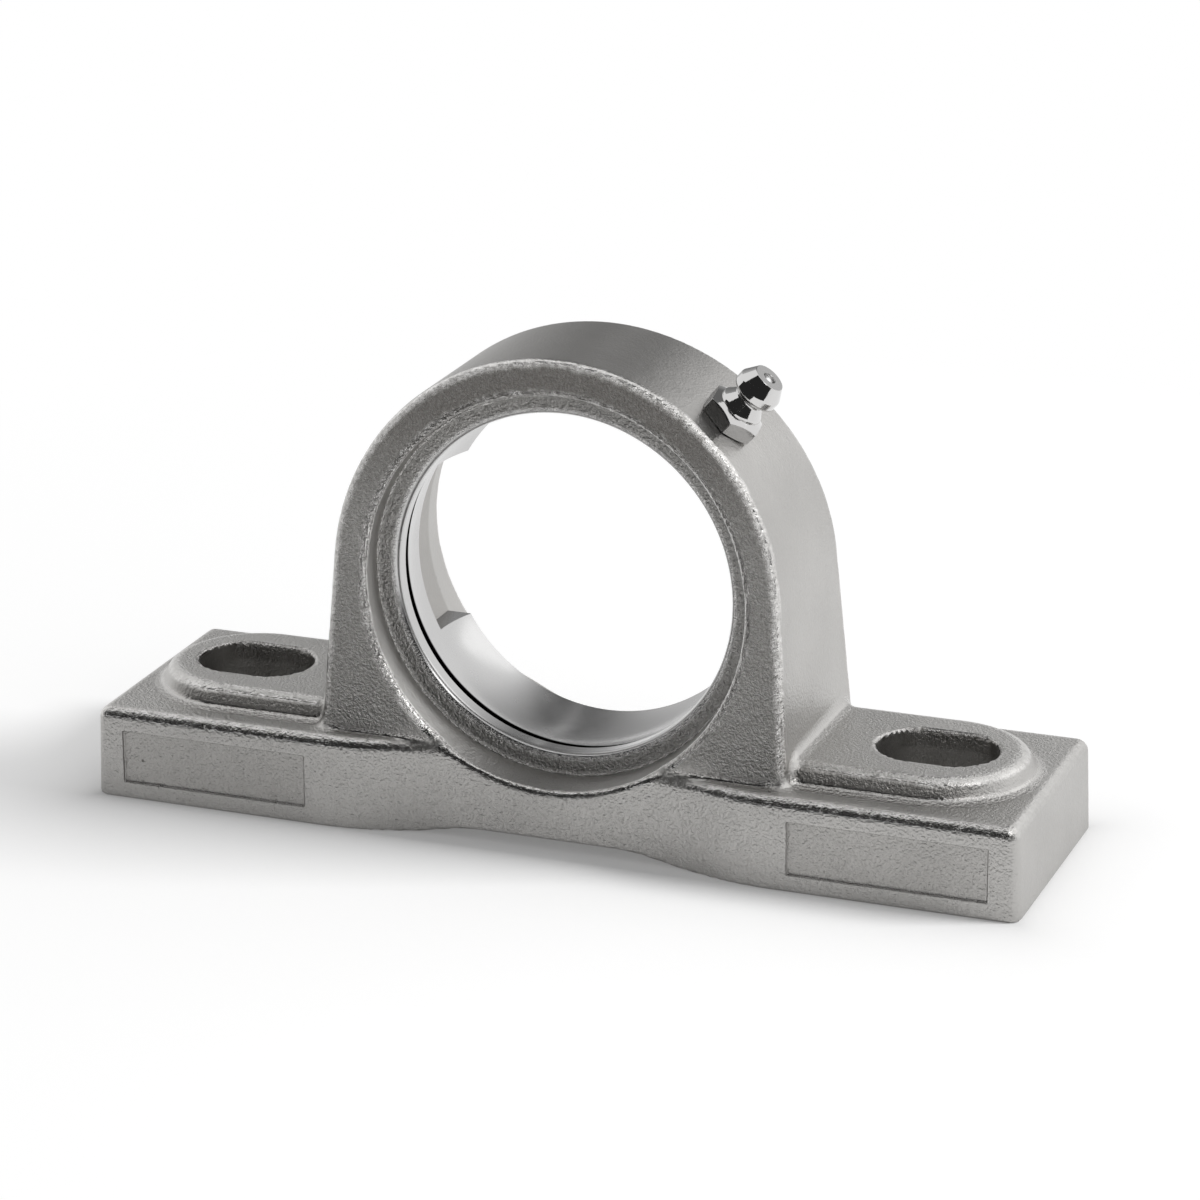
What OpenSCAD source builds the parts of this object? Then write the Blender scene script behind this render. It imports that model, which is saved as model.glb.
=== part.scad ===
// Pillow block housing, cast in stainless steel, with its grease nipple.
// It is the empty casting: the ball-shaped seat for the insert bearing is open.
// +X runs along the base, -Y is the front, the shaft lies along Y, and the base stands on z = 0.

/* [Base] */
// Length of the base
base_length = 140; // [136:0.5:160]
// Width of the two feet
base_width = 38; // [36.5:0.1:40]
// Height of the feet beside the pads
foot_height = 13.7; // [12:0.1:15.5]
// Rounding along the top edges of the feet
foot_edge = 2; // [1:0.1:3]
// Rounding of the feet's four upright corners
foot_corner = 2.5; // [1:0.1:5]
// Bevel along the bottom edges
bottom_edge = 0.7; // [0.3:0.1:1.2]
// How far each end leans in over the foot's height
end_draft = 0.5; // [0.1:0.1:1.5]
// Width of the base between the feet, where the arch covers it
waist_width = 32.4; // [31:0.1:34]
// Length over which the base is narrowest
waist_length = 28; // [20:1:32]
// Length over which the base is narrower than its feet
waist_reach = 68; // [60:1:72]
// Height of the hollow under the middle of the base
relief_height = 1.6; // [0.5:0.1:3]
// Length of the hollow where it is deepest
relief_flat = 20; // [10:1:26]
// Length of the hollow where it meets the ground
relief_reach = 46; // [36:1:60]

/* [Slots and pads] */
// Distance between the centres of the two bolt slots
slot_spacing = 105; // [102:0.5:108]
// Width of a slot
slot_width = 13; // [9:0.5:15]
// Length of a slot, end to end
slot_length = 17.5; // [16:0.5:20]
// Bevel round the top of a slot
slot_edge = 0.5; // [0.2:0.1:1]
// Height of the pad's top above the ground
pad_height = 16.8; // [16:0.1:20]
// Width of the pad's flat top
pad_width = 24; // [20:0.5:26]
// Metal between a slot's outer end and the edge of the pad's top
pad_rim = 3.75; // [2.5:0.25:4.5]
// Slope of the pad's sides, from upright
pad_slope = 30; // [15:1:40]

/* [Front panels] */
// Length of the shallow bare panel on the front of each foot
panel_length = 28.8; // [20:0.1:30]
// Height of a panel
panel_height = 7.8; // [4:0.1:8]
// Height of its lower edge above the ground
panel_bottom = 2.6; // [1.5:0.1:3]
// Distance of its middle from the middle of the base
panel_place = 51; // [50:0.5:52]
// Depth of a panel
panel_depth = 0.4; // [0.2:0.1:0.8]

/* [Arch] */
// Height of the shaft's centre above the ground
centre_height = 37.5; // [36:0.1:40]
// Outer radius of the arch
arch_radius = 33.5; // [32:0.1:36]
// Flare of the legs below the arch, in degrees
leg_flare = 4; // [2:0.5:6]
// Distance of the front face from the shaft's middle plane, at the top of the arch
crown_front = 11.9; // [11:0.1:13]
// Distance of the back face from the same plane, at the top
crown_back = 9.9; // [9.5:0.1:11]
// Lean of the front face, in degrees
front_lean = 3.7; // [2.5:0.1:4]
// Lean of the back face, in degrees
back_lean = 5.5; // [4:0.1:6]
// Bevel along the outer edges of the arch
arch_edge = 0.9; // [0.4:0.1:1.5]
// Fillet between each leg and its pad
leg_fillet = 1.8; // [1:0.1:2.5]

/* [Bore] */
// Diameter of the ball-shaped seat, the same as the insert's outer ring
insert_diameter = 52; // [51:0.1:52.5]
// Diameter of the machined opening in front of the seat
opening_diameter = 50.1; // [49:0.1:50.5]
// How far in front of the middle plane the opening starts
opening_front = 9.8; // [9:0.1:10.5]
// How far in front of the middle plane the seat starts
seat_front = 5.5; // [4.5:0.1:6.5]
// How far behind the middle plane the seat ends
seat_back = 8; // [7:0.1:9]
// Diameter of the recess at the bottom of its front wall
front_recess = 56.2; // [54:0.1:57]
// Fall of the unmachined shoulder from the recess wall to the opening
shoulder_fall = 0.4; // [0:0.1:1]
// Diameter of the recess behind the seat
back_recess = 56; // [54:0.1:57]
// Draft of both recess walls, in degrees
recess_draft = 5; // [2:0.5:7]
// Bevel round the mouth of each recess
lip_edge = 0.6; // [0.2:0.1:1]
// Height of the two loading slots, through which an insert goes in edge on
loading_height = 25; // [20:0.5:28]
// Diameter of the loading slots' outer walls
loading_diameter = 56.4; // [56:0.1:57]

/* [Grease nipple] */
// Angle of the nipple above the horizontal
nipple_angle = 48; // [40:1:60]
// How far in front of the middle plane it stands
nipple_front = 3.5; // [2:0.1:4]
// Thread diameter
thread_diameter = 6; // [5:0.5:6]
// Thread length below the hexagon
thread_length = 5.5; // [4:0.1:5.8]
// Hexagon across its flats
hex_flats = 8; // [7.6:0.1:9]
// Height of the hexagon
hex_height = 2.7; // [2:0.1:3]
// How far the hexagon is turned about its axis, in degrees
hex_turn = 40; // [0:1:60]
// Diameter of the round collar on the hexagon
collar_diameter = 7.5; // [6.8:0.1:7.6]
// Height above the seat of the collar's upper edge
collar_height = 3.4; // [3.1:0.1:3.8]
// Diameter at the neck's narrowest
neck_diameter = 5.2; // [4.6:0.1:5.6]
// Height above the seat where the neck starts to be narrowest
neck_place = 5; // [4.6:0.1:5.1]
// Length over which the neck is narrowest
neck_length = 0.3; // [0.1:0.1:0.5]
// Largest diameter of the head
head_diameter = 6.8; // [6.5:0.1:7.2]
// Height above the seat of the lower edge of the head's band
head_band = 6; // [5.8:0.1:6.3]
// Width of the head's band
head_band_width = 0.9; // [0.4:0.1:1.2]
// Diameter of the flat tip
tip_diameter = 4.6; // [3.6:0.1:5.2]
// Height of the nipple above its seat
nipple_height = 9; // [8.6:0.1:10]
// Diameter of the hole in the tip
tip_hole = 1.8; // [1.4:0.1:2]
// Depth of that hole, down to the ball's seat
tip_depth = 0.45; // [0.3:0.05:0.6]
// Length of the shank's end that is crimped round the spring
crimp_height = 0.5; // [0.3:0.1:0.8]
// Diameter of the check ball
ball_diameter = 2.4; // [2.2:0.1:2.6]
// Wire of the ball's spring
wire_diameter = 0.25; // [0.2:0.05:0.3]
// Number of turns in the spring
spring_turns = 9; // [5:1:12]
// Drilling that leads the grease from the nipple to the seat
grease_drill = 3; // [2:0.5:3.5]

/* [Clearances] */
// Radial play of the ball and its spring in the nipple
ball_play = 0.05; // [0.03:0.01:0.1]
// Gap left where two solids meet
joint_gap = 0.02; // [0.01:0.01:0.05]

/* [Hidden] */
$fn = 96;
over = 1;
bite = 0.02;
arc_steps = 6;
ring_sides = 8;
rings_per_turn = 14;
ball_sides = 48;
// A little more than the hollow blend turns through
blend_turn = 45;
// The blend's radius goes in tenths, and is this much larger than its two arcs alone need
tenths = 10;
blend_spare = 0.5;

slot_side = slot_spacing / 2;
slot_reach = (slot_length - slot_width) / 2;
pad_radius = pad_width / 2;
pad_end = slot_side + slot_length / 2 + pad_rim;
pad_spread = (pad_height - foot_height) * tan(pad_slope);

waist_step = (base_width - waist_width) / 2;
blend_length = (waist_reach - waist_length) / 2;
blend_middle = (waist_length + waist_reach) / 4;
// Rounded up, so that the shoulder stands a few hundredths proud of the hollow blend where they meet
blend_radius = ceil(tenths * (blend_spare + (blend_length * blend_length
    + waist_step * waist_step) / (4 * waist_step))) / tenths;

crown_height = centre_height + arch_radius;
tangent_x = arch_radius * cos(leg_flare);
tangent_z = centre_height + arch_radius * sin(leg_flare);
function leg_x(z) = tangent_x + (tangent_z - z) * tan(leg_flare);
function front_y(z) = -crown_front - (crown_height - z) * tan(front_lean);
function back_y(z) = crown_back + (crown_height - z) * tan(back_lean);

insert_radius = insert_diameter / 2;
front_mouth = front_recess / 2
    + (-front_y(centre_height) - opening_front - shoulder_fall) * tan(recess_draft);
back_mouth = back_recess / 2 + (back_y(centre_height) - seat_back) * tan(recess_draft);
deep = base_width;

hex_corner = hex_flats / 2 / cos(30);
ball_radius = ball_diameter / 2;
ball_bore = ball_radius + ball_play;
ball_place = nipple_height - tip_depth - joint_gap
    - sqrt(ball_radius * ball_radius - tip_hole * tip_hole / 4);
coil_radius = ball_bore - ball_play - wire_diameter / 2;
wire_reach = ball_radius + joint_gap + wire_diameter / 2;
coil_top = ball_place - sqrt(wire_reach * wire_reach - coil_radius * coil_radius);
coil_bottom = crimp_height - thread_length + joint_gap + wire_diameter / 2;

// Stands a flat outline up, so that its second axis is Z, between two places along Y
module along_y(front, back) {
    translate([0, back, 0]) rotate([90, 0, 0]) linear_extrude(back - front) children();
}

// Lays a flat outline with axes Y and Z along X, between two places along X
module along_x(left, right) {
    translate([left, 0, 0]) rotate([90, 0, 90]) linear_extrude(right - left) children();
}

// Turns a solid that is round about Z so that it is round about the shaft, with its top to the back
module round_shaft() {
    translate([0, 0, centre_height]) rotate([-90, 0, 0]) children();
}

// Puts a solid that stands on z = 0 at the nipple's seat on the arch
module at_nipple() {
    translate([0, -nipple_front, centre_height]) rotate([0, 90 - nipple_angle, 0])
        translate([0, 0, arch_radius + joint_gap]) children();
}

module both_sides() {
    children();
    mirror([1, 0, 0]) children();
}

module four_corners() {
    both_sides() {
        children();
        mirror([0, 1, 0]) children();
    }
}

// Section of the foot from an inner line out to its wall, with a rounded top and a beveled bottom
module foot_section(inner, wall) {
    polygon([
        [inner, 0], [wall - bottom_edge, 0], [wall, bottom_edge], [wall, foot_height - foot_edge],
        [wall - foot_edge, foot_height - foot_edge], [wall - foot_edge, foot_height],
        [inner, foot_height]
    ]);
    translate([wall - foot_edge, foot_height - foot_edge]) circle(foot_edge);
}

// The same section where the metal lies outside the wall
module hollow_section(wall, outer) {
    translate([wall + outer, 0]) mirror([1, 0]) foot_section(0, outer);
}

// The part of a turned section that lies between two places along the base
module blend_part(inner_x, outer_x) {
    intersection() {
        children();
        translate([inner_x, 0, 0]) cube([outer_x - inner_x, base_width, foot_height]);
    }
}

// A quarter of the base: a straight foot, a round shoulder, a hollow blend and a straight waist
module base_quarter() {
    half = base_width / 2;
    waist = waist_width / 2;
    shoulder_x = waist_reach / 2;
    along_x(shoulder_x, base_length / 2) foot_section(0, half);
    blend_part(blend_middle, shoulder_x)
        translate([shoulder_x, half - blend_radius, 0]) rotate([0, 0, 90])
            rotate_extrude(angle = blend_turn) foot_section(blend_radius - half - over, blend_radius);
    blend_part(waist_length / 2, blend_middle)
        translate([waist_length / 2, waist + blend_radius, 0]) rotate([0, 0, -90])
            rotate_extrude(angle = blend_turn) hollow_section(blend_radius, base_width);
    along_x(0, waist_length / 2) foot_section(0, waist);
}

// Side view of the base: drafted ends with rounded tops
module base_side() {
    half = base_length / 2;
    top = foot_height - foot_edge;
    lean = end_draft * top / foot_height;
    right = concat(
        [[half - bottom_edge, 0], [half, bottom_edge]],
        [for (i = [0:arc_steps]) let (a = 90 * i / arc_steps)
            [half - lean - foot_edge * (1 - cos(a)), top + foot_edge * sin(a)]]
    );
    polygon(concat(right, [for (i = [len(right) - 1:-1:0]) [-right[i][0], right[i][1]]]));
}

// Plan of the base: a rectangle with round corners
module base_plan() {
    inner = [base_length - 2 * foot_corner, base_width - 2 * foot_corner];
    square([base_length, inner[1]], center = true);
    square([inner[0], base_width], center = true);
    for (x = [-1, 1], y = [-1, 1]) translate([x * inner[0], y * inner[1]] / 2) circle(foot_corner);
}

module base() {
    intersection() {
        four_corners() base_quarter();
        along_y(-base_width, base_width) base_side();
        linear_extrude(foot_height) base_plan();
    }
}

// Raised pad round a slot, its inner end buried in the leg
module pad() {
    foot = pad_radius + pad_spread;
    centre = pad_end - pad_radius;
    intersection() {
        translate([centre, 0, foot_height])
            cylinder(pad_height - foot_height, foot, pad_radius);
        translate([centre, -deep / 2, 0]) cube([deep, deep, pad_height]);
    }
    along_x(arch_radius - over, centre)
        polygon([[-foot, foot_height], [foot, foot_height],
                 [pad_radius, pad_height], [-pad_radius, pad_height]]);
    translate([arch_radius - over, -foot, foot_height - over])
        cube([centre - arch_radius + over, 2 * foot, over]);
    translate([centre, 0, foot_height - over]) cylinder(over, foot, foot);
}

// Concave fillet in the corner between the leaning leg and the pad's flat top
module fillet_section() {
    centre = [leg_fillet * (1 - sin(leg_flare)) / cos(leg_flare), leg_fillet];
    arc = [for (i = [0:arc_steps]) let (a = 270 - i * (90 - leg_flare) / arc_steps)
        centre + leg_fillet * [cos(a), sin(a)]];
    polygon(concat([[-over, -over], [centre[0], -over]], arc,
                   [arc[arc_steps] - over * [cos(leg_flare), sin(leg_flare)]]));
}

module leg_root() {
    translate([leg_x(pad_height), 0, pad_height]) along_y(-pad_radius, pad_radius) fillet_section();
}

module arch_outline() {
    translate([0, centre_height]) circle(arch_radius);
    polygon([[-tangent_x, tangent_z], [-leg_x(0), 0], [leg_x(0), 0], [tangent_x, tangent_z]]);
}

module arch_section() {
    polygon([[front_y(0), 0], [back_y(0), 0],
             [back_y(crown_height + over), crown_height + over],
             [front_y(crown_height + over), crown_height + over]]);
}

// Puts a cutter drawn with the face on z = 0 and the metal above it on the back or the front face
module at_back_face() {
    translate([0, back_y(centre_height), centre_height]) rotate([90 + back_lean, 0, 0]) children();
}

module at_front_face() {
    translate([0, front_y(centre_height), centre_height]) rotate([90 + front_lean, 0, 180]) children();
}

// Bevel round the outer edge of one face: a ring over the top and a straight cut down each leg
module edge_bevel() {
    inner = arch_radius - arch_edge;
    reach = arch_edge + over;
    height = reach + over;
    side = arch_radius + 2 * reach;
    difference() {
        translate([-side, arch_radius * sin(leg_flare), -over]) cube([2 * side, side, height]);
        translate([0, 0, -over]) cylinder(height, inner - over, inner + reach);
    }
    both_sides() rotate([0, 0, leg_flare]) translate([inner - bite, 2 * over, 0]) rotate([90, 0, 0])
        linear_extrude(crown_height) polygon([[-over, -over], [reach, -over], [reach, reach]]);
}

// Bevel round the mouth of a recess whose wall has the given radius at the face
module lip_bevel(mouth) {
    translate([0, 0, -over]) cylinder(2 * lip_edge + over, mouth + lip_edge + over, mouth - lip_edge);
}

module arch() {
    difference() {
        intersection() {
            along_y(-base_width, base_width) arch_outline();
            along_x(-base_length, base_length) arch_section();
        }
        at_front_face() edge_bevel();
        at_back_face() edge_bevel();
    }
}

// Hollow in the middle of the underside, blending smoothly into the ground at both ends
module relief() {
    run = (relief_reach - relief_flat) / 2;
    right = [for (i = [0:2 * arc_steps]) let (t = i / (2 * arc_steps))
        [relief_flat / 2 + run * t, relief_height * (1 + cos(180 * t)) / 2]];
    along_y(-base_width, base_width)
        polygon(concat([for (i = [len(right) - 1:-1:0]) [-right[i][0], right[i][1]]], right,
                       [[relief_reach / 2, -over], [-relief_reach / 2, -over]]));
}

// Everything that the bore takes away, from the front face to the back
module bore_profile() {
    slope = tan(recess_draft);
    wall = front_recess / 2;
    opening = opening_diameter / 2;
    shoulder_y = opening_front + shoulder_fall;
    back_wall = back_recess / 2;
    polygon([[0, -deep], [wall + (deep - shoulder_y) * slope, -deep], [wall, -shoulder_y],
             [opening, -opening_front], [opening, -seat_front], [0, -seat_front]]);
    intersection() {
        circle(insert_radius);
        translate([0, -seat_front]) square([insert_radius + over, seat_front + seat_back]);
    }
    polygon([[0, seat_back], [back_wall, seat_back],
             [back_wall + (deep - seat_back) * slope, deep], [0, deep]]);
}

module loading_slots() {
    intersection() {
        round_shaft() cylinder(seat_back + over / 2, loading_diameter / 2, loading_diameter / 2);
        translate([-deep, 0, centre_height - loading_height / 2])
            cube([2 * deep, deep, loading_height]);
    }
}

module slot() {
    for (x = [-slot_reach, slot_reach]) translate([x, 0, 0]) {
        translate([0, 0, -over]) cylinder(pad_height + 2 * over, slot_width / 2, slot_width / 2);
        translate([0, 0, pad_height - slot_edge])
            cylinder(slot_edge + over, slot_width / 2, slot_width / 2 + slot_edge + over);
    }
    translate([-slot_reach, -slot_width / 2, -over])
        cube([2 * slot_reach, slot_width, pad_height + 2 * over]);
    along_x(-slot_reach, slot_reach) polygon([
        [-slot_width / 2, pad_height - slot_edge], [slot_width / 2, pad_height - slot_edge],
        [slot_width / 2 + slot_edge + over, pad_height + over],
        [-slot_width / 2 - slot_edge - over, pad_height + over]
    ]);
}

module panel() {
    translate([panel_place - panel_length / 2, -base_width / 2 - over, panel_bottom])
        cube([panel_length, over + panel_depth, panel_height]);
}

module grease_hole() {
    at_nipple() {
        translate([0, 0, -thread_length - crimp_height])
            cylinder(thread_length + crimp_height + over, thread_diameter / 2, thread_diameter / 2);
        translate([0, 0, -arch_radius / 2])
            cylinder(arch_radius / 2, grease_drill / 2, grease_drill / 2);
    }
}

module housing() {
    color([0.62, 0.61, 0.6]) difference() {
        union() {
            base();
            both_sides() {
                pad();
                leg_root();
            }
            arch();
        }
        round_shaft() rotate_extrude() bore_profile();
        at_front_face() lip_bevel(front_mouth);
        at_back_face() lip_bevel(back_mouth);
        loading_slots();
        relief();
        both_sides() {
            translate([slot_side, 0, 0]) slot();
            panel();
        }
        grease_hole();
    }
}

// Outline of the nipple above its seat, from the axis outwards, without the hexagon
module nipple_outline() {
    collar = collar_diameter / 2;
    neck = neck_diameter / 2;
    head = head_diameter / 2;
    polygon([[0, 0], [collar, 0], [collar, collar_height], [neck, neck_place],
             [neck, neck_place + neck_length], [head, head_band],
             [head, head_band + head_band_width], [tip_diameter / 2, nipple_height],
             [0, nipple_height]]);
}

module nipple_body() {
    color([0.8, 0.8, 0.8]) at_nipple() difference() {
        union() {
            intersection() {
                rotate([0, 0, hex_turn]) cylinder(hex_height, hex_corner, hex_corner, $fn = 6);
                cylinder(hex_height, collar_diameter / 2 + hex_height / tan(30),
                         collar_diameter / 2);
            }
            rotate_extrude() nipple_outline();
            translate([0, 0, -thread_length])
                cylinder(thread_length + over, thread_diameter / 2 - joint_gap,
                         thread_diameter / 2 - joint_gap);
        }
        translate([0, 0, crimp_height - thread_length])
            cylinder(nipple_height - tip_depth + thread_length - crimp_height, ball_bore, ball_bore);
        translate([0, 0, -thread_length - over])
            cylinder(thread_length + nipple_height + 2 * over, tip_hole / 2, tip_hole / 2);
    }
}

module check_ball() {
    color([0.85, 0.85, 0.85]) at_nipple() translate([0, 0, ball_place]) sphere(ball_radius, $fn = ball_sides);
}

// Height of the wire's centre after so many turns, with one closed turn at each end
function coil_height(turns) =
    let (rise = coil_top - coil_bottom, open = rise - 2 * wire_diameter)
    turns < 1 ? coil_bottom + wire_diameter * turns
    : turns > spring_turns - 1 ? coil_top - wire_diameter * (spring_turns - turns)
    : coil_bottom + wire_diameter + open * (turns - 1) / (spring_turns - 2);

module check_spring() {
    count = spring_turns * rings_per_turn;
    rings = [for (i = [0:count], s = [0:ring_sides - 1])
        let (turn = i / rings_per_turn, a = 360 * s / ring_sides,
             r = coil_radius + wire_diameter / 2 * cos(a))
        [r * cos(360 * turn), r * sin(360 * turn), coil_height(turn) + wire_diameter / 2 * sin(a)]];
    walls = [for (i = [0:count - 1], s = [0:ring_sides - 1])
        let (next = (s + 1) % ring_sides, here = i * ring_sides)
        [here + s, here + next, here + next + ring_sides, here + s + ring_sides]];
    caps = [[for (s = [ring_sides - 1:-1:0]) s],
            [for (s = [0:ring_sides - 1]) count * ring_sides + s]];
    color([0.5, 0.5, 0.5]) at_nipple() polyhedron(rings, concat(walls, caps));
}

housing();
nipple_body();
check_ball();
check_spring();
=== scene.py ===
# %% [markdown]
# A cast steel pillow block housing
# This lesson dresses a small bearing housing, cast in stainless steel, whose ball seat is
# still empty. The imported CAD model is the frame: it says where everything is, and what
# this script makes goes round it. Lengths are in metres and the shaft runs along Y.

# %% Load the frame
import math
import bpy
import numpy as np
from mathutils import Matrix, Vector


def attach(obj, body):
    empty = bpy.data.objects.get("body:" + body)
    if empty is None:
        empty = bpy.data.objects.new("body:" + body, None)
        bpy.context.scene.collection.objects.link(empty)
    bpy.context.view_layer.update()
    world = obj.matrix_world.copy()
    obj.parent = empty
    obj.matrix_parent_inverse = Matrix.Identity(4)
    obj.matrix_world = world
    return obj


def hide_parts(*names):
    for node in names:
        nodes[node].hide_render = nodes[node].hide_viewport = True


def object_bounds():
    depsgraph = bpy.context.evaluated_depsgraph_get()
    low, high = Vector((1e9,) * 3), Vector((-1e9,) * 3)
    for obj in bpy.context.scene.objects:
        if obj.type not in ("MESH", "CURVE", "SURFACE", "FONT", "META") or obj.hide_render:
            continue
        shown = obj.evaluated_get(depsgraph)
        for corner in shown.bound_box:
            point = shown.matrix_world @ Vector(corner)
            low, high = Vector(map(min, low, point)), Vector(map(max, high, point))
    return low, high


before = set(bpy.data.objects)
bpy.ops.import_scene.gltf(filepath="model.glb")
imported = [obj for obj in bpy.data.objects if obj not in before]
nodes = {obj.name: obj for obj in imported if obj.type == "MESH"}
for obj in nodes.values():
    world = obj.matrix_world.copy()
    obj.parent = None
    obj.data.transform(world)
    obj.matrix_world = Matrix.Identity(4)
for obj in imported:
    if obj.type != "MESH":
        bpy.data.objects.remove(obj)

MM = 0.001
cad_box = [list(corner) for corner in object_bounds()]
print("nodes", sorted(nodes), "box in mm", np.round(np.array(cad_box) / MM, 2).tolist())

# %% [markdown]
# The camera
# The photograph was taken with a long lens from the right and a little above, so upright
# lines stay nearly parallel. The angles, the distance and the lens were worked out from
# points of the casting whose places are known. The camera is turned by its own matrix
# of right, up and back directions, which keeps the slight roll exact.

# %% Camera
CAMERA_AZIMUTH, CAMERA_ELEVATION, CAMERA_ROLL = np.radians([21.11, 19.29, -0.36])
CAMERA_TARGET = np.array([1.95, 0.0, 32.49]) * MM
CAMERA_DISTANCE = 632.0 * MM
CAMERA_LENS = 132.98


def camera_matrix(azimuth, elevation, roll, target, distance):
    """Right, up and back directions of a camera that looks at target, then its place."""
    back = np.array([math.sin(azimuth) * math.cos(elevation),
                     -math.cos(azimuth) * math.cos(elevation), math.sin(elevation)])
    right = np.cross(-back, [0, 0, 1])
    right /= np.linalg.norm(right)
    up = np.cross(right, -back)
    turned_right = right * math.cos(roll) + up * math.sin(roll)
    turned_up = up * math.cos(roll) - right * math.sin(roll)
    place = target + back * distance
    rows = np.column_stack([turned_right, turned_up, back, place])
    return Matrix(np.vstack([rows, [0, 0, 0, 1]]).tolist())


camera_data = bpy.data.cameras.new("camera")
camera_data.lens = CAMERA_LENS
camera_data.sensor_width = 36
camera_data.clip_start, camera_data.clip_end = 0.01, 20
camera = bpy.data.objects.new("camera", camera_data)
camera.matrix_world = camera_matrix(CAMERA_AZIMUTH, CAMERA_ELEVATION, CAMERA_ROLL,
                                    CAMERA_TARGET, CAMERA_DISTANCE)
scene = bpy.context.scene
scene.collection.objects.link(camera)
scene.camera = camera
scene.view_settings.view_transform = "Standard"
print("camera at", [round(v, 4) for v in camera.matrix_world.translation])

# %% [markdown]
# Nodes in a few words
# Every finish below is a small network of shader nodes. These helpers add one node at a
# time: its own options by name, and its sockets as plain values or as another node's
# output, so that a material reads like a recipe.

# %% Helpers for materials
WHITE = (1.0, 1.0, 1.0)


def add_node(tree, kind, sockets=None, **options):
    """A node of that kind, with its options set and its sockets given values or links."""
    node = tree.nodes.new("ShaderNode" + kind)
    for name, value in options.items():
        setattr(node, name, value)
    for key, value in (sockets or {}).items():
        if isinstance(value, bpy.types.NodeSocket):
            tree.links.new(value, node.inputs[key])
        else:
            node.inputs[key].default_value = value
    return node


def math_node(tree, operation, *values):
    """The result of one arithmetic operation on values or outputs."""
    return add_node(tree, "Math", dict(enumerate(values)), operation=operation).outputs[0]


def grey_ramp(tree, value, low, high, bottom=0.0, top=1.0):
    """Maps a value between low and high, evenly, to one between bottom and top."""
    ranges = {1: low, 2: high, 3: bottom, 4: top}
    return add_node(tree, "MapRange", {0: value, **ranges}, clamp=True).outputs[0]


def rgba(tint, share=1.0):
    """A tint as a shader colour, darkened to that share."""
    return [channel * share for channel in tint] + [1]


def mix_colours(tree, share, first, second):
    """Two colours mixed by a share from 0 to 1."""
    sockets = {0: share, 6: first, 7: second}
    return add_node(tree, "Mix", sockets, data_type="RGBA").outputs[2]


def summed(tree, *terms):
    """The sum of several products, each given as a tuple of factors."""
    total = None
    for factors in terms:
        product = factors[0]
        for factor in factors[1:]:
            product = math_node(tree, "MULTIPLY", product, factor)
        total = product if total is None else math_node(tree, "ADD", total, product)
    return total


def noise(tree, place, size, detail=3.0, roughness=0.55):
    """Cloudy noise whose grains are about size metres across, from 0 to 1."""
    return add_node(tree, "TexNoise", {
        "Vector": place, "Scale": 1 / size, "Detail": detail,
        "Roughness": roughness}).outputs[0]


def seen_by(tree, *kinds):
    """1 for rays of the given kinds, by the names of Light Path, and 0 for all others."""
    rays = add_node(tree, "LightPath").outputs
    total = rays[kinds[0]]
    for kind in kinds[1:]:
        total = math_node(tree, "MAXIMUM", total, rays[kind])
    return total


def white_glow(tree, strength):
    """A surface that shines white by itself, as the output of a shader node."""
    sockets = {"Color": rgba(WHITE), "Strength": strength}
    return add_node(tree, "Emission", sockets).outputs[0]


def metal_shader(tree, tint, roughness, height, depth):
    """A metal raised by height times depth in metres, as the output of a shader node."""
    bump = add_node(tree, "Bump", {"Height": height, "Distance": depth})
    return add_node(tree, "BsdfPrincipled", {
        "Base Color": tint, "Metallic": 1.0, "Roughness": roughness,
        "Normal": bump.outputs[0]}).outputs[0]


def empty_material(name):
    """A material with its nodes cleared, its tree and its output node."""
    material = bpy.data.materials.new(name)
    material.use_nodes = True
    material.node_tree.nodes.clear()
    output = material.node_tree.nodes.new("ShaderNodeOutputMaterial")
    return material, material.node_tree, output


# %% [markdown]
# The studio
# Polished and satin steel has no colour of its own to speak of: it shows what stands
# round it. The photograph has a white table, a pure white background, a large soft lamp
# behind the casting on the right, and a dark studio in front. The floor here is lit
# like the table close to the casting, fades into plain white further out, and keeps
# the soft shadow, with a painted contact shadow along the base. The world is white
# wherever the camera or a reflection sees it.

# %% World and floor
FLOOR_SIDE = 6.0
FLOOR_FADE = (0.07, 0.24)
FLOOR_GLOW, WORLD_FILL = 0.46, 0.26
FLOOR_TINT = (0.8, 0.8, 0.8)
# These two set the painted contact shadow on the table along the base.
CONTACT_NEAR, CONTACT_FAR = 0.0013, 0.0040

world = bpy.data.worlds.new("studio")
world.use_nodes = True
scene.world = world
tree = world.node_tree
tree.nodes.clear()
seen = seen_by(tree, "Is Camera Ray", "Is Glossy Ray", "Is Transmission Ray")
strength = grey_ramp(tree, seen, 0, 1, WORLD_FILL, 1.0)
background = add_node(tree, "Background", {"Color": rgba(WHITE), "Strength": strength})
add_node(tree, "OutputWorld", {"Surface": background.outputs[0]})


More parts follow.
